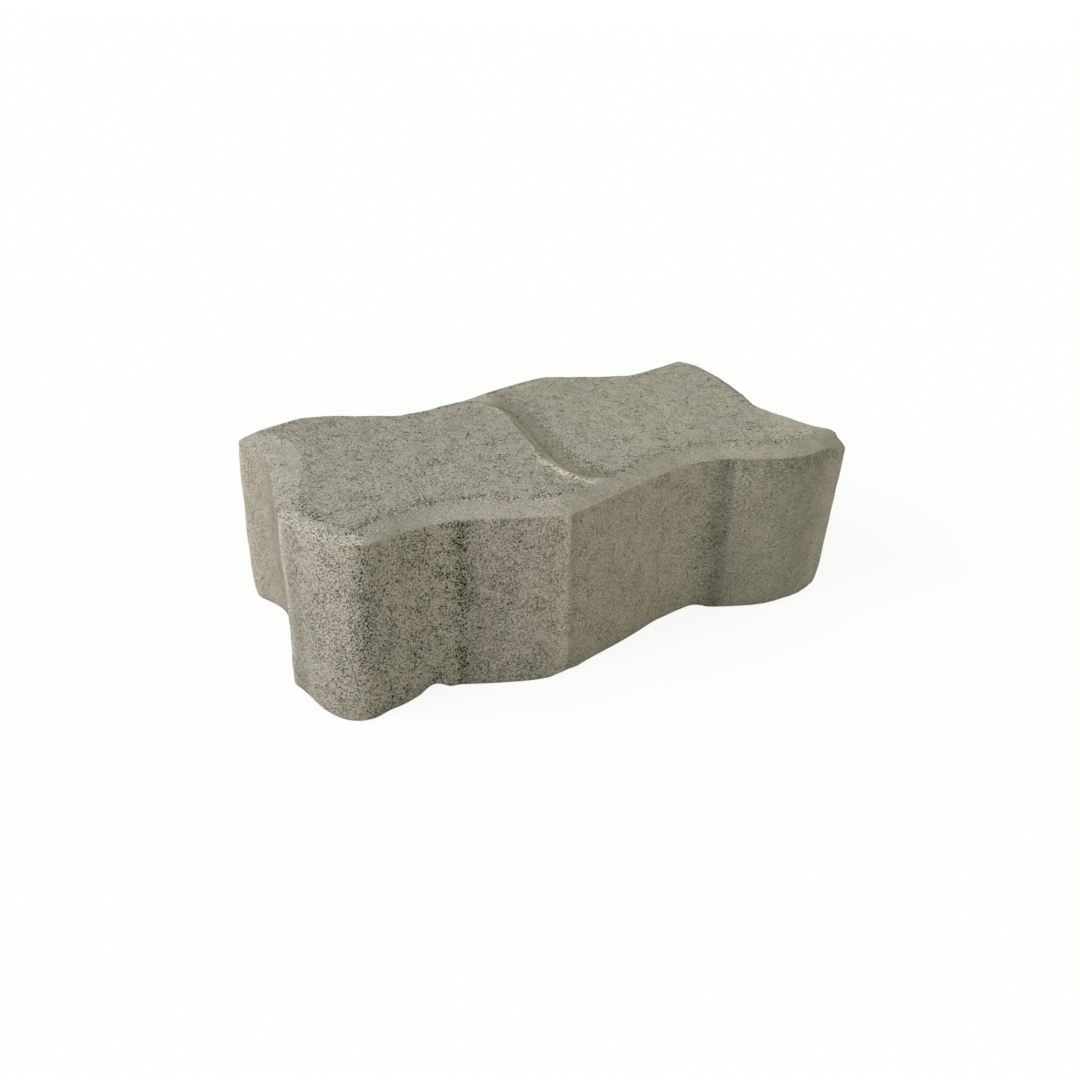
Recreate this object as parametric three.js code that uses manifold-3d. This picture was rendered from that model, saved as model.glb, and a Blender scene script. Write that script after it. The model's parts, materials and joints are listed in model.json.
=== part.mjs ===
// Interlocking concrete paving stone, pressed in one piece: two square modules end to end, with
// waved sides and ends that key into the neighbouring stones, a bevel round the wearing face and
// a false joint across the middle. Millimetres, +Z up, origin at the middle of the underside.

import * as THREE from 'three';
import { mergeVertices } from 'three/addons/utils/BufferGeometryUtils.js';
import Module from 'manifold-3d';

// Laying grid and thickness.
const moduleSize = 112.5;
const moduleCount = 2;
const thickness = 70;

// Side wave of each module, from its left corner: a valley into the stone, then a ridge out of it.
const sideValleyAlong = 34;
const sideValleyDepth = 9.7;
const sideValleyRadius = 42;
const sideRidgeAlong = 73.5;
const sideRidgeHeight = 9.2;
const sideRidgeRadius = 34;

// End wave, from the front corner: a neck and a valley towards the left, then a ridge towards the
// right.
const endNeckAlong = 13;
const endNeckDepth = 10;
const endNeckRadius = 30;
const endValleyAlong = 34;
const endValleyDepth = 12.5;
const endValleyRadius = 4;
const endRidgeAlong = 92;
const endRidgeHeight = 7;
const endRidgeRadius = 26;

const cornerRadius = 9;

// Bevel between the sides and the wearing face.
const bevelWidth = 8;
const bevelHeight = 4.2;

// Foot: the lower corners are worn round, and the lower edge is slightly broken.
const footCornerRadius = 14;
const footWearHeight = 12;
const footEdge = 1.2;

// False joint: a shallow trough that wanders over the stone from front to back and runs out
// through both bevels. Its bends lie to the left of the stone's middle line.
const jointFrontOffset = 12;
const jointFrontRadius = 20;
const jointValleyAlong = 20;
const jointValleyOffset = 20.5;
const jointValleyRadius = 22;
const jointRidgeAlong = 84;
const jointRidgeOffset = 1;
const jointRidgeRadius = 26;
const jointBackAlong = 106;
const jointBackOffset = 9;
const jointBackRadius = 20;
const jointFloorWidth = 3;
const jointMouthWidth = 11;
const jointDepth = 3;

// Segments of each rounded bend and of each rounded section, the smallest radius that an inset
// leaves, and the share of a straight run that one arc may take.
const bendSteps = 10;
const sectionSteps = 5;
const smallestRadius = 0.5;
const runShare = 0.48;

const length = moduleSize * moduleCount;

// Bends of the waves, front side and left end: where each one lies, with how it is rounded. The
// back repeats the front and the right end repeats the left, so that stones laid against each
// other close with an even joint.
const sideBends = [
  { along: sideValleyAlong, across: sideValleyDepth, radius: sideValleyRadius },
  { along: sideRidgeAlong, across: -sideRidgeHeight, radius: sideRidgeRadius },
];
const endBends = [
  { along: endNeckAlong, across: -endNeckDepth, radius: endNeckRadius },
  { along: endValleyAlong, across: -endValleyDepth, radius: endValleyRadius },
  { along: endRidgeAlong, across: endRidgeHeight, radius: endRidgeRadius },
];
const jointBends = [
  { along: 0, across: -jointFrontOffset, radius: jointFrontRadius },
  { along: jointValleyAlong, across: -jointValleyOffset, radius: jointValleyRadius },
  { along: jointRidgeAlong, across: -jointRidgeOffset, radius: jointRidgeRadius },
  { along: jointBackAlong, across: -jointBackOffset, radius: jointBackRadius },
];

// A bend of a path in plan, measured from the middle of the stone.
const bendAt = (x, y, radius) => ({
  point: new THREE.Vector2(x - length / 2, y - moduleSize / 2),
  radius,
});

// The stone's outline, counter-clockwise from the front left corner.
function outlineBends(radiusOfCorners) {
  const front = [];
  for (let module = 0; module < moduleCount; module += 1) {
    for (const { along, across, radius } of sideBends) {
      front.push({ along: module * moduleSize + along, across, radius });
    }
  }
  const back = [...front].reverse();
  return [
    bendAt(0, 0, radiusOfCorners),
    ...front.map(({ along, across, radius }) => bendAt(along, across, radius)),
    bendAt(length, 0, radiusOfCorners),
    ...endBends.map(({ along, across, radius }) => bendAt(length + across, along, radius)),
    bendAt(length, moduleSize, radiusOfCorners),
    ...back.map(({ along, across, radius }) => bendAt(along, moduleSize + across, radius)),
    bendAt(0, moduleSize, radiusOfCorners),
    ...[...endBends].reverse().map(({ along, across, radius }) => bendAt(across, along, radius)),
  ];
}

// The line of the false joint, front to back, running out past both sides.
function jointLine() {
  const middle = length / 2;
  const overrun = bevelWidth + jointMouthWidth;
  return [
    bendAt(middle + jointBends[0].across, -overrun, 0),
    ...jointBends.map(({ along, across, radius }) => bendAt(middle + across, along, radius)),
    bendAt(middle + jointBends.at(-1).across, moduleSize + overrun, 0),
  ];
}

const leftOf = (direction) => new THREE.Vector2(-direction.y, direction.x);

// Moves a path to its left by the inset, with its corners still sharp.
function insetCorners(bends, inset, closed) {
  const count = bends.length;
  const heading = (index) => {
    const from = bends[(index + count) % count].point;
    const to = bends[(index + 1) % count].point;
    return to.clone().sub(from).normalize();
  };
  return bends.map(({ point, radius }, index) => {
    const isFirst = !closed && index === 0;
    const isLast = !closed && index === count - 1;
    const before = heading(isFirst ? index : index - 1);
    const after = heading(isLast ? index - 1 : index);
    const mitre = leftOf(before).add(leftOf(after));
    mitre.multiplyScalar((2 * inset) / mitre.lengthSq());
    return { point: point.clone().add(mitre), radius, before, after };
  });
}

// Insets a path and rounds its bends with arcs. An arc takes less than half of the straight run
// on either side of it, so that neighbouring arcs never meet.
function roundedPath(bends, inset, closed) {
  const corners = insetCorners(bends, inset, closed);
  const count = corners.length;
  return corners.flatMap(({ point, radius, before, after }, index) => {
    if (!closed && (index === 0 || index === count - 1)) return [point];
    const turn = Math.atan2(before.cross(after), before.dot(after));
    const side = Math.sign(turn);
    const roundness = Math.tan(Math.abs(turn) / 2);
    const runBefore = point.distanceTo(corners[(index + count - 1) % count].point);
    const runAfter = point.distanceTo(corners[(index + 1) % count].point);
    const roomyRadius = (runShare * Math.min(runBefore, runAfter)) / roundness;
    const arcRadius = Math.min(Math.max(radius - side * inset, smallestRadius), roomyRadius);
    const start = point.clone().addScaledVector(before, -arcRadius * roundness);
    const centre = start.clone().addScaledVector(leftOf(before), side * arcRadius);
    return Array.from({ length: bendSteps + 1 }, (_, step) => (
      start.clone().rotateAround(centre, (turn * step) / bendSteps)
    ));
  });
}

// A closed skin over rings of points in plan, each at its own height, bottom ring first.
function loft(rings) {
  const count = rings[0].points.length;
  const positions = rings.flatMap(({ points, z }) => points.flatMap(({ x, y }) => [x, y, z]));
  const indices = [];
  for (let level = 1; level < rings.length; level += 1) {
    for (let index = 0; index < count; index += 1) {
      const next = (index + 1) % count;
      const [a, b] = [(level - 1) * count + index, (level - 1) * count + next];
      const [c, d] = [level * count + index, level * count + next];
      indices.push(a, b, d, a, d, c);
    }
  }
  const top = (rings.length - 1) * count;
  for (const [a, b, c] of THREE.ShapeUtils.triangulateShape(rings[0].points, [])) {
    indices.push(a, c, b);
  }
  for (const [a, b, c] of THREE.ShapeUtils.triangulateShape(rings.at(-1).points, [])) {
    indices.push(top + a, top + b, top + c);
  }
  const geometry = new THREE.BufferGeometry();
  geometry.setAttribute('position', new THREE.Float32BufferAttribute(positions, 3));
  geometry.setIndex(indices);
  return geometry;
}

// The whole stone before the false joint is cut.
function bodyGeometry() {
  const ring = (z, inset, radiusOfCorners) => ({
    z,
    points: roundedPath(outlineBends(radiusOfCorners), inset, true),
  });
  const rings = [];
  for (let step = 0; step <= sectionSteps; step += 1) {
    const angle = (Math.PI / 2) * (step / sectionSteps);
    const wear = 1 - Math.sin(angle);
    const radius = cornerRadius + (footCornerRadius - cornerRadius) * wear;
    rings.push(ring(footWearHeight * (1 - Math.cos(angle)), footEdge * wear, radius));
  }
  rings.push(ring(thickness - bevelHeight, 0, cornerRadius));
  rings.push(ring(thickness, bevelWidth, cornerRadius));
  return loft(rings);
}

// The trough of the false joint: a rounded floor that opens to the mouth in the wearing face.
function jointGeometry() {
  const strip = (halfWidth) => [
    ...roundedPath(jointLine(), -halfWidth, false),
    ...roundedPath(jointLine(), halfWidth, false).reverse(),
  ];
  const rings = [];
  for (let step = 0; step <= sectionSteps; step += 1) {
    const share = step / sectionSteps;
    const width = jointFloorWidth + (jointMouthWidth - jointFloorWidth) * share;
    const rise = (1 - Math.cos(Math.PI * share)) / 2;
    rings.push({ z: thickness - jointDepth * (1 - rise), points: strip(width / 2) });
  }
  rings.push({ z: thickness + jointDepth, points: strip(jointMouthWidth / 2) });
  return loft(rings);
}

const wasm = await Module();
wasm.setup();

function toSolid(geometry) {
  const merged = mergeVertices(geometry);
  return new wasm.Manifold(new wasm.Mesh({
    numProp: 3,
    vertProperties: new Float32Array(merged.attributes.position.array),
    triVerts: new Uint32Array(merged.index.array),
  }));
}

function toGeometry(solid) {
  const { vertProperties, triVerts } = solid.getMesh();
  const geometry = new THREE.BufferGeometry();
  geometry.setAttribute('position', new THREE.BufferAttribute(vertProperties, 3));
  geometry.setIndex(new THREE.BufferAttribute(triVerts, 1));
  geometry.computeVertexNormals();
  return geometry;
}

const concrete = new THREE.MeshStandardMaterial({
  name: 'pressed concrete',
  color: 0x8f8c7c,
  roughness: 0.95,
  metalness: 0,
});

const stone = new THREE.Mesh(
  toGeometry(toSolid(bodyGeometry()).subtract(toSolid(jointGeometry()))),
  concrete,
);
stone.name = 'paving_stone';

const paver = new THREE.Group();
paver.add(stone);

export default paver;
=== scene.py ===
import json
import math

import bmesh
import bpy
import numpy as np
from mathutils import Matrix, Vector
from mathutils.kdtree import KDTree

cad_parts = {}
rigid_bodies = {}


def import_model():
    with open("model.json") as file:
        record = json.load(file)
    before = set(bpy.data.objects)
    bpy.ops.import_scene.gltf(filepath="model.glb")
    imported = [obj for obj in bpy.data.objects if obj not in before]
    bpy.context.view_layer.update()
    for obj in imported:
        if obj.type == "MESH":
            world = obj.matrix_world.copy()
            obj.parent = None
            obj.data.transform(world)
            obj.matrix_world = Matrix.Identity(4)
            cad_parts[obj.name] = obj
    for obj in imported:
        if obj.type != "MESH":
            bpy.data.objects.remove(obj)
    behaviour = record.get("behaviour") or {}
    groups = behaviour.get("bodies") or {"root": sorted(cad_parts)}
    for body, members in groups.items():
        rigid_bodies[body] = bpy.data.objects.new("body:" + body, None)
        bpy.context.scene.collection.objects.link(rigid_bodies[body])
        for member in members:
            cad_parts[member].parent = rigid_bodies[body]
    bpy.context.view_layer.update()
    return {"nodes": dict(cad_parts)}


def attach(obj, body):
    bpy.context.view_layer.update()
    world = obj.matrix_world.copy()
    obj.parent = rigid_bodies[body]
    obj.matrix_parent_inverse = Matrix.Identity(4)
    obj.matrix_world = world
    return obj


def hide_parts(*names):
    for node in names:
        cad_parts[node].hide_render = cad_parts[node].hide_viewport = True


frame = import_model()


# ---- View ------------------------------------------------------------------------------------
# The stone is seen from its front left corner and from above, near enough for its back end to
# look clearly smaller than its front.
view_place = (-0.2373, -0.3199, 0.2082)
view_turn, view_tilt, view_roll = -32.74, 57.05, 1.51

view = bpy.data.objects.new("view", bpy.data.cameras.new("view"))
view.data.sensor_width = 36.0
view.data.lens = 34.477
view.data.shift_x = 0.0587
view.data.shift_y = 0.1287
view.matrix_world = (
    Matrix.Translation(view_place)
    @ Matrix.Rotation(math.radians(view_turn), 4, "Z")
    @ Matrix.Rotation(math.radians(view_tilt), 4, "X")
    @ Matrix.Rotation(math.radians(view_roll), 4, "Z")
)
bpy.context.collection.objects.link(view)
bpy.context.scene.camera = view


# ---- Stone -----------------------------------------------------------------------------------
# One pressing of nearly dry concrete: sand and cement, a dull grey with an olive cast, speckled by
# sand grains and by small open pores. The mould leaves the arrises slightly round and crumbly, and
# handling has worn some of them away, by a few millimetres at the corners.
stone = bpy.data.objects.new("stone", frame["nodes"]["paving_stone"].data.copy())
bpy.context.collection.objects.link(stone)

bpy.ops.object.select_all(action="DESELECT")
bpy.context.view_layer.objects.active = stone
stone.select_set(True)
bpy.ops.object.mode_set(mode="EDIT")
bpy.ops.mesh.select_all(action="SELECT")
bpy.ops.mesh.remove_doubles(threshold=0.00001)
bpy.ops.object.mode_set(mode="OBJECT")

# The bevel's inner and outer arrises and the right foot of the false joint, as rows of points.
# The faces that meet there are told apart by how far their normals point up.
face_height, arris_height, joint_height, slack = 0.0700, 0.0658, 0.0670, 0.0001
wall_at_most, bevel_at_most, face_at_least, facing_left = 0.01, 0.91, 0.999, -0.1
inner_arris, outer_arris, joint_foot = [], [], []
drawn = bmesh.new()
drawn.from_mesh(stone.data)
for seam in drawn.edges:
    steep, level = sorted((face.normal for face in seam.link_faces), key=lambda normal: normal.z)
    one_end, other_end = (vert.co.copy() for vert in seam.verts)
    lowest, highest = sorted((one_end.z, other_end.z))
    steps = max(1, round((other_end - one_end).length * 1000))
    along = [one_end.lerp(other_end, step / steps) for step in range(steps + 1)]
    if lowest < arris_height - slack:
        continue
    if abs(steep.z) < wall_at_most:
        outer_arris += along
    elif level.z > face_at_least and steep.z < bevel_at_most and lowest > face_height - slack:
        inner_arris += along
    elif highest < joint_height + slack and steep.x < facing_left:
        joint_foot += along
drawn.free()

# An even grid, fine enough for the wear.
remesh = stone.modifiers.new("even grid", "REMESH")
remesh.mode = "SHARP"
remesh.octree_depth = 8
remesh.scale = 0.93
remesh.use_remove_disconnected = False
bpy.ops.object.modifier_apply(modifier=remesh.name)

# The stone is worn in millimetres from the front left corner of its laying grid.
corner = np.array((-112.5, -56.25, 0.0))
count = len(stone.data.vertices)
points = np.empty(count * 3)
stone.data.vertices.foreach_get("co", points)
points = points.reshape(-1, 3) * 1000 - corner
x, y, z = points.T  # Views, which follow the points as they move.


def from_nearest(row):
    """From the nearest of a row of points to each vertex."""
    tree = KDTree(len(row))
    for index, point in enumerate(row):
        tree.insert(point, index)
    tree.balance()
    found = [tree.find(vert.co)[0] for vert in stone.data.vertices]
    return points - 1000 * np.array(found) + corner


def fade(distance, reach):
    """1 at no distance, falling smoothly to 0 at the reach."""
    return (1 - np.minimum(np.abs(distance) / reach, 1) ** 2) ** 2


def rise(value, low, high):
    """0 below low and 1 above high, with a smooth rise between them."""
    share = np.clip((value - low) / (high - low), 0, 1)
    return share * share * (3 - 2 * share)


def fall(value, low, high):
    """1 below low and 0 above high, with a smooth fall between them."""
    return 1 - rise(value, low, high)


def stripe(value, middle, width):
    """1 along a line, and soft to both sides of it."""
    return np.exp(-(((value - middle) / width) ** 2))


# Where a vertex is on the stone as drawn: how high, how far from the outer arris, whether by the
# inner one, and how far to the right of the false joint's middle. That wanders a little to the
# right of the drawn line, and the walls are far off it.
wall_top, far_off = 66.0, 99.0
drawn_height = z.copy()
from_arris = np.linalg.norm(from_nearest(outer_arris), axis=1)
by_inner_arris = stripe(np.linalg.norm(from_nearest(inner_arris), axis=1), 0.0, 2.0)
rightwards, backwards, _ = from_nearest(joint_foot).T
across = np.copysign(np.hypot(rightwards, backwards), rightwards) + 0.5
across -= 1.3 * fade(y - 19, 14) + 2.2 * fade(y - 95, 16)
across[drawn_height < wall_top] = far_off

# The false joint is shallower than drawn, with longer slopes, and runs out above the front bevel.
thickness, bevel_foot, bevel_height, bevel_slope = 70.0, 65.8, 4.2, 9.03
joint_depth, joint_floor, joint_reach, left_steepness = 2.3, 0.5, 7.5, 1.35
run = np.where(across > 0, across, -left_steepness * across)
trough = thickness - joint_depth * fall(run, joint_floor, joint_reach)
z[:] = np.minimum(z, trough)
z += (z > wall_top) * rise(from_arris, 8.0, 12.0) * np.maximum(trough - z, 0)
whole_bevel = np.minimum(thickness, bevel_foot + bevel_height * from_arris / bevel_slope)
run_out = fade(across, 16.0) ** 0.25 * fall(from_arris, 7.5, 14.0) * (y < 40)
z += run_out * np.maximum(whole_bevel - z, 0)

# Worn places: where each one is, how far around, above and below it the wear reaches, and how
# the stone lies there against the drawn one.
worn_places = {
    "front right corner, bevel": ((225.0, 0.0, 65.8), 26.0, 4.4, 36.0, (0.6, -0.2, -4.6)),
    "front right corner, inner arris": ((218.0, 7.0, 70.0), 18.0, 5.0, 5.0, (3.8, -3.0, -1.3)),
    "front right corner, outer arris": ((220.0, 3.0, 66.0), 12.0, 4.5, 8.0, (1.7, 0.0, 0.0)),
    "front right corner, wall": ((224.0, 0.0, 25.0), 30.0, 40.0, 40.0, (0.7, -0.3, 0.0)),
    "front left lobe, bevel": ((-5.0, 16.0, 65.8), 38.0, 5.0, 36.0, (0.0, 0.0, 2.8)),
    "front left lobe, inner arris": ((9.0, 12.0, 70.0), 14.0, 5.0, 3.0, (-1.5, -1.0, 0.0)),
    "right end, bevel": ((216.0, 44.0, 65.8), 18.0, 5.5, 30.0, (-0.6, 0.0, -1.0)),
    "left end, wider bevel": ((10.0, 72.0, 70.0), 34.0, 5.0, 2.5, (4.6, 0.0, 0.0)),
    "left hollow, foot": ((3.0, 68.0, 0.0), 42.0, 30.0, 9.0, (2.8, 0.0, 0.0)),
    "left hollow, wall": ((0.0, 64.0, 30.0), 32.0, 32.0, 40.0, (2.4, 0.0, 0.0)),
    "back left corner": ((0.0, 114.0, 36.0), 30.0, 60.0, 60.0, (-0.6, 0.0, 0.0)),
    "front left lobe, lifted foot": ((-12.0, 26.0, 0.0), 21.0, 12.0, 10.0, (0.1, 0.0, 2.2)),
    "first valley, chipped foot": ((32.0, 7.0, 0.0), 7.0, 9.0, 9.0, (0.0, 0.0, 2.6)),
    "second valley, lifted foot": ((152.0, 8.0, 0.0), 12.0, 10.0, 14.0, (0.0, 0.0, 1.4)),
    "second ridge, lifted foot": ((186.0, -2.0, 0.0), 34.0, 14.0, 14.0, (0.0, 0.0, 1.2)),
    "second ridge, foot": ((206.0, -3.0, 4.0), 14.0, 12.0, 12.0, (0.5, -0.5, -1.4)),
    "first valley, foot": ((48.0, 2.0, 0.0), 24.0, 16.0, 16.0, (0.0, -1.0, 0.0)),
    "front left lobe, low wall": ((-14.0, 32.0, 22.0), 26.0, 34.0, 24.0, (1.1, 0.0, 0.0)),
    "middle of the front, foot": ((118.0, 3.0, 2.0), 30.0, 16.0, 16.0, (0.0, -1.0, 0.0)),
    "front left corner, foot": ((20.0, 5.0, 2.0), 9.0, 12.0, 12.0, (0.0, -1.2, 0.0)),
    "first ridge, chipped foot": ((80.0, -9.0, 0.0), 9.0, 8.0, 8.0, (0.0, 1.0, 0.8)),
    "second valley, chipped foot": ((157.0, 8.0, 0.0), 9.0, 8.0, 8.0, (0.0, 0.6, 1.0)),
}
for (right, back, height), around, above, below, move in worn_places.values():
    aside = np.hypot(x - right, y - back)
    up = z - height
    weight = fade(aside, around) * fade(up, np.where(up > 0, above, below))
    points += weight[:, None] * np.array(move)


def beside(line):
    """How far each vertex is to the right of an upright line and out from it, and which way
    is out."""
    top, foot, outward = line
    facing = np.array(outward) / math.hypot(*outward)
    height = points[:, 2:3] / thickness
    away = points[:, :2] - np.array(foot) * (1 - height) - np.array(top) * height
    return away[:, 1] * facing[0] - away[:, 0] * facing[1], away @ facing, facing


def crease(line, amount, width, reach=14.0):
    """Draws a sharp ridge, or with a negative amount a groove, along an upright line."""
    right, out, facing = beside(line)
    weight = np.exp(-np.abs(right) / width) * fade(out, reach)
    points[:, :2] += (weight * amount)[:, None] * facing


# Upright lines of the walls: the top and the foot of each in plan, and the way it faces. Those of
# the front lean a little.
first_valley = ((39.5, 6.0), (42.0, 5.0), (0.1, -1.0))
first_ridge = ((75.0, -8.0), (79.0, -8.0), (0.0, -1.0))
second_valley = ((160.0, 4.0), (163.4, 2.7), (0.2, -1.0))
lobe_edge = ((-12.5, 34.0), (-12.0, 34.0), (-1.0, 0.1))
left_corner = ((2.0, 2.0), (2.0, 2.0), (-0.5, -0.85))
crease(first_valley, -0.8, 3.5)
crease(first_ridge, 1.1, 5.0)
crease(second_valley, -1.3, 5.0)

# The back's valleys and ridges stand plumb.
for plan, amount, width in (
    ((32.0, 117.0), 1.1, 6.0),
    ((67.5, 104.0), -1.6, 7.0),
    ((87.0, 106.0), 1.6, 9.0),
    ((148.0, 117.0), 1.1, 6.0),
    ((184.0, 103.5), -1.2, 6.0),
):
    crease((plan, plan, (0.0, 1.0)), amount, width)

# How far to the right of each upright line a vertex is.
past_first, past_ridge, past_second, past_edge, past_corner = (
    beside(line)[0]
    for line in (first_valley, first_ridge, second_valley, lobe_edge, left_corner)
)

# The stone's regions, each 1 inside and 0 outside.
wall = fall(drawn_height, wall_top - 1, wall_top)
front_wall = wall * fall(y, 20.0, 30.0)
tan_wall = front_wall * rise(x, 76.0, 84.0) * fall(x, 128.0, 152.0)
left_wall = wall * rise(y, 40.0, 72.0) * fall(x, 10.0, 20.0)
lobe_wall = wall * fall(x, -4.0, 2.0) * fall(y, 40.0, 48.0)
lobe_side = wall * (x < 0)
top = 1 - wall
far_top = top * rise(x, 70.0, 140.0)
right_corner = top * rise(x, 185.0, 210.0) * fall(y, 20.0, 40.0)
bevel = top * fall(from_arris, 7.0, 10.0)
left_bevel = bevel * fall(x, 1.0, 12.0) * fall(y, 90.0, 110.0)
face = top * rise(from_arris, 6.0, 10.0)
joint_bed = face * rise(across, -3.4, -1.0) * fall(across, 3.5, 8.0)
left_lip = face * stripe(across, -5.2, 2.0)
right_lip = face * stripe(across, 6.8, 2.0)
shoulder = face * stripe(across, -7.0, 3.0) * fall(y, 20.0, 40.0)
joint_front = fall(y, 24.0, 44.0)
joint_back = rise(y, 92.0, 104.0)
bare_lip = (1 - 0.8 * (1 - joint_front) * fall(y, 68.0, 80.0)) * fall(y, 86.0, 94.0)

# How much paler, or with a minus darker, each place is than plain stone. Most of it is painted
# light and shade that the lamps don't give, with painted highlights along ridges; the tan wall,
# the back of the left wall and the two patches of the back are the stone's own colour, and the
# joint is darker.
painted_light_and_stains = {
    # Painted light and shade on the front: painted shade by the front left corner, in the second
    # valley and past it, painted highlights along the first ridge, and the faces between made
    # paler where the lamps leave them too dark, most of all up to the first valley and by the
    # front right corner.
    "front left corner": -0.16 * front_wall * stripe(past_corner, 1.0, 4.5),
    "front, up to the first valley": 0.52 * front_wall * fall(past_first, -4.0, 4.0),
    "first valley": 0.05 * front_wall * stripe(past_first, 0.8, 1.5),
    "front, up to the first ridge": (
        0.15 * front_wall * rise(past_first, -4.0, 4.0) * fall(past_ridge, 0.0, 3.0)
    ),
    "first ridge": 0.22 * front_wall * stripe(past_ridge, -0.3, 1.1),
    "first ridge, left slope": 0.18 * front_wall * stripe(past_ridge, -2.5, 3.0),
    "front, up to the second valley": (
        front_wall
        * (0.10 * rise(past_ridge, 2.0, 6.0) + 0.06 * rise(past_ridge, 30.0, 60.0))
        * fall(past_second, -14.0, -6.0)
    ),
    "second valley": (
        -0.36 * front_wall * rise(past_second, -8.0, 1.0) * fall(past_second, 1.2, 2.8)
    ),
    "front, past the second valley": (
        -0.15 * front_wall * rise(past_second, 1.8, 3.2) * fall(x, 196.0, 212.0)
    ),
    "front right corner": 0.19 * front_wall * rise(x, 200.0, 220.0),
    "tan wall": 0.04 * tan_wall,
    # Painted shade on the near part of the left wall, in the hollow behind the lobe; the back of
    # the left wall is a paler cement of its own.
    "left wall, near": -0.21 * left_wall * fall(y, 84.0, 96.0),
    "left wall, back": 0.30 * left_wall * rise(y, 96.0, 112.0),
    # Painted shade on the front left lobe, most of all low down and high up a little right of its
    # left edge; painted light high on it and just beside that edge; and a painted highlight along
    # the edge, which is partly a rubbed paler arris as well.
    "lobe": lobe_wall * (-0.24 + 0.06 * rise(y, 16.0, 34.0)),
    "lobe, high": 0.06 * lobe_wall * rise(z, 46.0, 66.0),
    "lobe, low": -0.21 * lobe_wall * fall(z, 5.0, 50.0),
    "lobe's left edge": 0.6 * lobe_side * stripe(past_edge, 0.5, 2.2),
    "beside the lobe's left edge": 0.16 * lobe_side * stripe(past_edge, 5.0, 2.2),
    "lobe, high, right of that": (
        -0.12 * lobe_side * stripe(past_edge, 16.0, 6.0) * rise(z, 30.0, 50.0)
    ),
    # Painted light: the top is made paler, a little less towards the right.
    "top": 0.26 * top - 0.05 * far_top,
    "pale patch of the back": 0.45 * stripe(x, 134.0, 6.0) * stripe(y, 106.0, 2.0),
    "dark patch of the back": -0.25 * stripe(x, 122.0, 5.0) * stripe(y, 98.0, 2.5),
    # Painted shade on the bevel, more towards the right. The left bevel is paler, partly painted
    # light and partly crumbly pale cement.
    "bevel": -bevel * (0.18 + 0.12 * rise(x, 120.0, 170.0)),
    "left bevel": left_bevel * (0.45 - 0.18 * rise(y, 30.0, 44.0)),
    # The joint's left lip and shoulder are paler, partly worn pale cement and partly painted light
    # on a slope that the lamps leave dark; at the front the left slope has painted light as well.
    "left lip": left_lip * (0.10 + 0.70 * bare_lip),
    "shoulder": 0.55 * shoulder,
    "joint's left slope, at the front": 0.22 * face * joint_front * stripe(across, -2.5, 1.8),
    "joint": (
        -0.66
        * face
        * (1 - 0.6 * joint_back)
        * rise(across + 0.8 * (1 - joint_front), -1.0, 0.8)
        * fall(across, 4.0, 8.5)
    ),
}

# The face's near edge and the joint's lips crumble, and the front's lines are rich in pits.
crumbly = by_inner_arris * fall(y, 34.0, 48.0) * rise(np.abs(across), 4.0, 8.0)
crumbly *= 1 - 0.85 * rise(x, 185.0, 200.0)
lips = np.maximum(left_lip * bare_lip, right_lip)
crumbly = np.maximum(np.maximum(crumbly, 0.6 * shoulder), 0.9 * lips)
pitted = front_wall * (
    stripe(past_first, 0.8, 1.9)
    + 0.2 * stripe(past_second, -3.0, 4.0)
    + 0.6 * rise(past_second, 2.0, 6.0) * rise(z, 54.0, 62.0)
)

# The grain is coarsest at the left of the walls and finer towards the right and the back.
coarse = wall * (0.9 - 0.33 * rise(x, 44.0, 100.0) - 0.2 * rise(x, 160.0, 170.0))
coarse += 0.2 * front_wall * fall(past_first, -4.0, 4.0) - 0.25 * lobe_wall
coarse *= 1 - 0.45 * left_wall - 0.3 * (1 - left_wall) * rise(y, 50.0, 100.0)
coarse += top * (0.83 - 0.12 * far_top) * (1 - 0.3 * bevel) - 0.35 * right_corner
coarse += 0.3 * left_bevel + 0.25 * crumbly + 0.3 * pitted

# The concrete's colour and grain follow these amounts.
for name, amounts in {
    "side": wall,
    "crumbly": crumbly,
    "pitted": pitted,
    "smooth": bevel - left_bevel,
    # The shade holds the painted light and shade together with the stains.
    "shade": sum(painted_light_and_stains.values()),
    "tan": 0.5 * np.maximum(tan_wall, left_wall),
    "coarse": coarse * (1 - 0.5 * joint_bed),
    "dirt": np.maximum(joint_bed, 0.3 * rise(x, 60.0, 140.0)),
}.items():
    layer = stone.data.attributes.new(name, "FLOAT", "POINT")
    layer.data.foreach_set("value", amounts.astype(np.float32))

# Nothing may lie below the ground.
z[:] = np.maximum(z, 0)
stone.data.vertices.foreach_set("co", ((points + corner) / 1000).ravel())


def group(name, weights):
    """A vertex group that holds these weights, for a modifier of the same name."""
    made = stone.vertex_groups.new(name=name)
    for index in np.flatnonzero(weights > 0.02):
        made.add([int(index)], float(weights[index]), "REPLACE")
    return made.name


def relax(name, weights, times):
    """Rounds the stone where the weights say, with so many light passes."""
    easing = stone.modifiers.new(name, "SMOOTH")
    easing.factor = 0.5
    easing.iterations = times
    easing.vertex_group = group(name, weights)
    bpy.ops.object.modifier_apply(modifier=name)


def roughen(name, weights, size, depth, middle):
    """Moves the surface in and out by soft noise of that size, in metres."""
    noise = bpy.data.textures.new(name, "CLOUDS")
    noise.noise_scale = size
    noise.noise_depth = 1
    swell = stone.modifiers.new(name, "DISPLACE")
    swell.texture = noise
    swell.texture_coords = "LOCAL"
    swell.strength = depth
    swell.mid_level = middle
    swell.vertex_group = group(name, weights)
    bpy.ops.object.modifier_apply(modifier=name)


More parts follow.
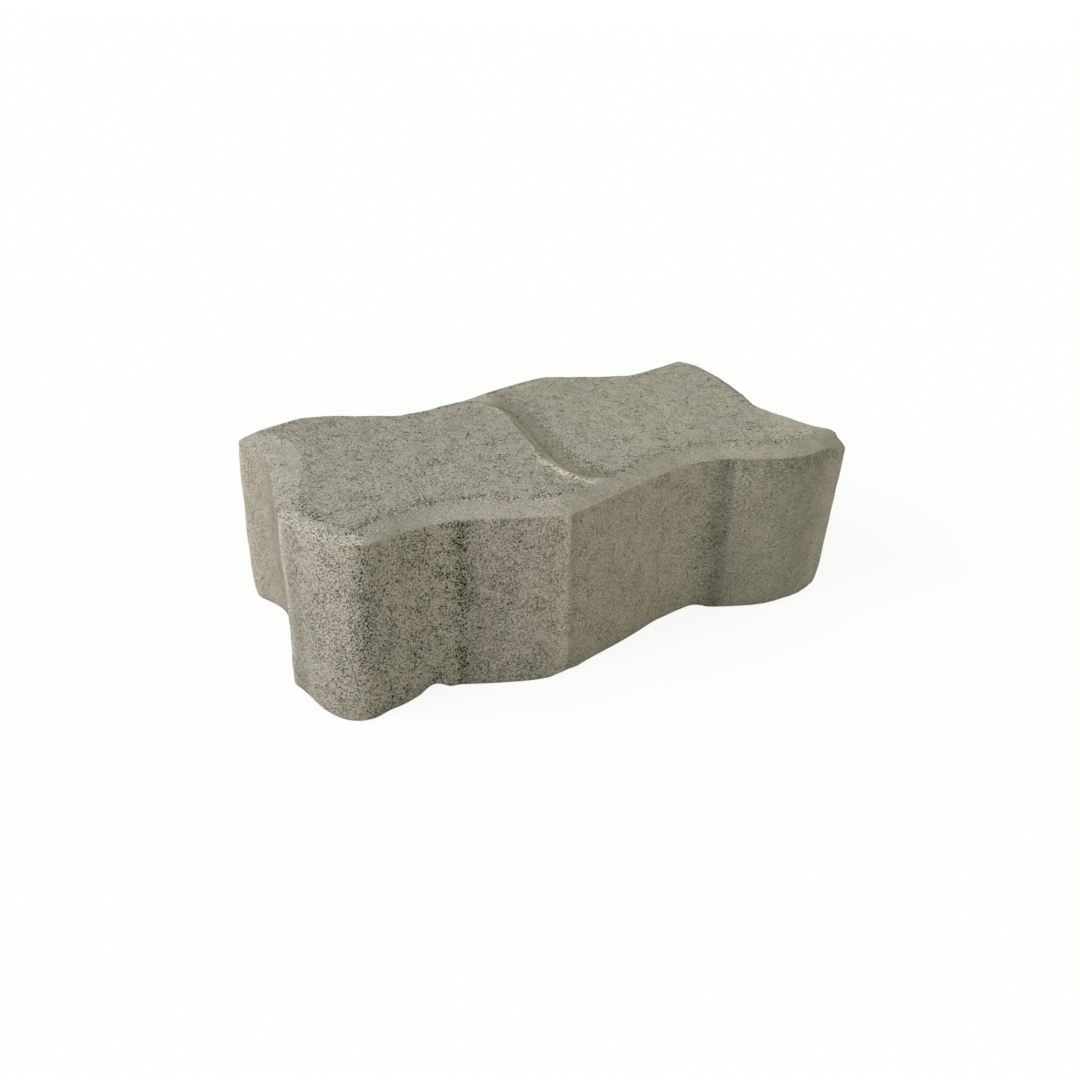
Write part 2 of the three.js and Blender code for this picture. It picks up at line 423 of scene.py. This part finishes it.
# The front left lobe and the front right corner are worn round at their tops.
round_lobe = fade(np.hypot(x + 9, y - 20), 19) * rise(z, 58, 62)
round_corner = fade(np.hypot(x - 222, y - 3), 12) * rise(z, 58, 62)
relax("worn corners", np.maximum(round_lobe, round_corner), 24)
relax("lips", fade(across, 14.0), 10)
crumbs = np.maximum(crumbly, 0.3 * stripe(from_arris, 0.0, 1.6))
roughen("undulation", rise(z, 0.5, 6.0), size=0.012, depth=0.0007, middle=0.75)
roughen("crumbs", crumbs, size=0.0016, depth=0.0007, middle=0.70)

# The underside is flat, so it needs only a coarse grid.
facing_down, ground_slack, grid_kept = -0.99, 0.0003, 0.12
bpy.ops.object.mode_set(mode="EDIT")
bpy.ops.mesh.select_all(action="DESELECT")
bpy.ops.object.mode_set(mode="OBJECT")
for polygon in stone.data.polygons:
    polygon.select = polygon.normal.z < facing_down and polygon.center.z < ground_slack
bpy.ops.object.mode_set(mode="EDIT")
bpy.ops.mesh.select_less()
bpy.ops.mesh.decimate(ratio=grid_kept)
bpy.ops.object.mode_set(mode="OBJECT")
bpy.ops.object.shade_smooth_by_angle(angle=math.radians(38))


class Wire:
    """A value in a node tree, on which arithmetic adds Math nodes."""

    def __init__(self, tree, socket=None):
        self.tree = tree
        self.socket = socket

    def node(self, kind, inputs, output=0, **settings):
        made = self.tree.nodes.new(kind)
        for name, value in settings.items():
            setattr(made, name, value)
        for name, value in inputs.items():
            if isinstance(value, Wire):
                self.tree.links.new(value.socket, made.inputs[name])
            else:
                made.inputs[name].default_value = value
        return Wire(self.tree, made.outputs[output])

    def math(self, operation, *others):
        inputs = dict(enumerate((self, *others)))
        return self.node("ShaderNodeMath", inputs, operation=operation)

    def __add__(self, other):
        return self.math("ADD", other)

    def __mul__(self, other):
        return self.math("MULTIPLY", other)

    def __sub__(self, other):
        return self.math("SUBTRACT", other)

    def __rsub__(self, other):
        return self.node("ShaderNodeMath", {0: other, 1: self}, operation="SUBTRACT")

    __radd__ = __add__
    __rmul__ = __mul__

    def step(self, low, high):
        """0 below low and 1 above high, with a smooth rise between them."""
        limits = {"Value": self, "From Min": low, "From Max": high}
        return self.node("ShaderNodeMapRange", limits, interpolation_type="SMOOTHSTEP")

    def noise(self, size, detail=2.0, roughness=0.5, twist=0.0):
        """Soft noise about 0, with features of that size, in the units of this vector."""
        inputs = {"Vector": self, "Scale": 1 / size, "Detail": detail}
        inputs |= {"Roughness": roughness, "Distortion": twist}
        return self.node("ShaderNodeTexNoise", inputs) - 0.5

    def mix(self, one, other, share, **settings):
        """One colour, turned into the other by that share."""
        inputs = {0: share, 6: one, 7: other}
        return self.node("ShaderNodeMix", inputs, 2, data_type="RGBA", **settings)


# The concrete's colours: most of it, the dry tan of some walls, and dirt and moss in the joint.
grey = (0.345, 0.327, 0.265, 1.0)
brown = (0.372, 0.335, 0.258, 1.0)
olive = (0.345, 0.327, 0.240, 1.0)
plain_light, least_light, pit_darkness, pit_brownness = 1.12, 0.25, 0.90, 0.35

concrete = bpy.data.materials.new("pressed concrete")
concrete.use_nodes = True
shader = concrete.node_tree.nodes["Principled BSDF"]
nodes = Wire(concrete.node_tree)
metres = nodes.node("ShaderNodeTexCoord", {}, "Object")
spot = nodes.node("ShaderNodeVectorMath", {0: metres, "Scale": 1000.0}, operation="SCALE")
on_side, crumbling, pitting, smooth, shade, tan, coarseness, dirt = (
    nodes.node("ShaderNodeAttribute", {}, "Fac", attribute_name=name)
    for name in ("side", "crumbly", "pitted", "smooth", "shade", "tan", "coarse", "dirt")
)

clouds = spot.noise(30.0)
mottle = spot.noise(5.0, 2.0, 0.65)
crowd = spot.noise(7.0, 2.0, 0.6).step(-0.10, 0.10)
sand = spot.noise(0.46, 1.0, 0.7)
top_pores = spot.noise(1.1, 1.0, 0.5, 1.2)
side_pores = spot.noise(0.62, 1.0, 0.5, 1.2)
fine_pores = spot.noise(0.50, 1.0, 0.5, 1.0)
line_pores = spot.noise(1.2, 1.0, 0.5, 1.0)

# A pit is where a noise dips far enough below its middle, and less far where pits crowd.
pore_dip, speck_dip, line_dip = 0.262, 0.135, 0.13
open_pores = top_pores + on_side * (side_pores - top_pores)
rich = 0.05 * crowd + 0.03 * pitting
pore = 1 - (open_pores + pore_dip - rich - 0.09 * coarseness).step(-0.03, 0.01)
speck = 1 - (fine_pores + speck_dip - rich - 0.04 * coarseness).step(-0.04, 0.01)
line_pit = 1 - (line_pores + line_dip).step(-0.04, 0.01)
pit = pore.math("MAXIMUM", speck * (0.1 + 0.9 * coarseness)) * (1 - 0.5 * smooth)
pit = pit.math("MAXIMUM", crumbling * line_pit)

# Sand and mottling lighten and darken the paste, the painted light and shade and the stains
# lighten and darken it by place, and a pit is dark and a little browner.
grain = (0.25 + 0.75 * coarseness) * (2.8 * sand + 0.20 * mottle) + 0.07 * coarseness * crowd
light = plain_light + 0.14 * clouds + 0.20 * mottle + grain + shade + 0.06 * crumbling
light = light.math("MAXIMUM", least_light) * (1 - pit_darkness * pit)
blue = light * (1 - pit_brownness * pit)
brightness = nodes.node("ShaderNodeCombineColor", {0: light, 1: light, 2: blue})
paste = nodes.mix(nodes.mix(grey, brown, tan), olive, dirt)
colour = nodes.mix(paste, brightness, 1.0, blend_type="MULTIPLY")
relief = coarseness * (0.8 * sand + 1.2 * mottle) - 0.3 * pit
bump = nodes.node("ShaderNodeBump", {"Height": relief, "Strength": 1.0, "Distance": 0.001})
for name, wire in (("Base Color", colour), ("Normal", bump)):
    concrete.node_tree.links.new(wire.socket, shader.inputs[name])
shader.inputs["Roughness"].default_value = 0.95
shader.inputs["Specular IOR Level"].default_value = 0.05
stone.data.materials.clear()
stone.data.materials.append(concrete)

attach(stone, "root")
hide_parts("paving_stone")


# ---- Floor and light -------------------------------------------------------------------------
# A plain white floor in a pale room, with broad soft light from the left and a little from the
# front, where the floor throws some of it back.
floor_size = 40.0
floor_colour = (0.66, 0.64, 0.57, 1.0)
floor_glow, floor_whiteness = 1.05, 0.86
lit_air = (1.0, 1.0, 0.95, 1.0)
air_strength = 0.44
white = (1.0, 1.0, 1.0, 1.0)


def looked_at(start):
    """1 where the background is seen straight on or in a reflection."""
    camera, glossy, through = (
        start.node("ShaderNodeLightPath", {}, f"Is {kind} Ray")
        for kind in ("Camera", "Glossy", "Transmission")
    )
    return camera.math("MAXIMUM", glossy).math("MAXIMUM", through)


bpy.ops.object.select_all(action="DESELECT")
bpy.ops.mesh.primitive_plane_add(size=floor_size)
floor = bpy.context.object
floor.name = "floor"
floor_paint = bpy.data.materials.new("floor paint")
floor_paint.use_nodes = True
floor_paint.node_tree.nodes.clear()
ground = Wire(floor_paint.node_tree)
matt = ground.node("ShaderNodeBsdfDiffuse", {"Color": floor_colour})
glow = ground.node("ShaderNodeEmission", {"Color": white, "Strength": floor_glow})
pale = ground.node("ShaderNodeMixShader", {0: floor_whiteness, 1: matt, 2: glow})
seen = ground.node("ShaderNodeMixShader", {0: looked_at(ground), 1: matt, 2: pale})
output = floor_paint.node_tree.nodes.new("ShaderNodeOutputMaterial")
floor_paint.node_tree.links.new(seen.socket, output.inputs["Surface"])
floor.data.materials.append(floor_paint)

room = bpy.data.worlds.new("room")
room.use_nodes = True
bpy.context.scene.world = room
air = Wire(room.node_tree)
looked = looked_at(air)
sky = air.mix(lit_air, white, looked)
strength = air_strength + (1 - air_strength) * looked
background = room.node_tree.nodes["Background"]
for name, wire in (("Color", sky), ("Strength", strength)):
    room.node_tree.links.new(wire.socket, background.inputs[name])

for name, direction, width, energy, tint in (
    ("light from the left", (-0.76, 0.14, 0.50), 40.0, 2.9, (0.99, 1.0, 1.105)),
    ("light from the front", (0.10, -0.80, 0.50), 60.0, 0.45, (1.0, 0.99, 0.90)),
):
    lamp = bpy.data.objects.new(name, bpy.data.lights.new(name, "SUN"))
    lamp.data.angle = math.radians(width)
    lamp.data.energy = energy
    lamp.data.color = tint
    lamp.rotation_euler = Vector(direction).to_track_quat("Z", "Y").to_euler()
    bpy.context.collection.objects.link(lamp)

bpy.context.scene.view_settings.view_transform = "Standard"
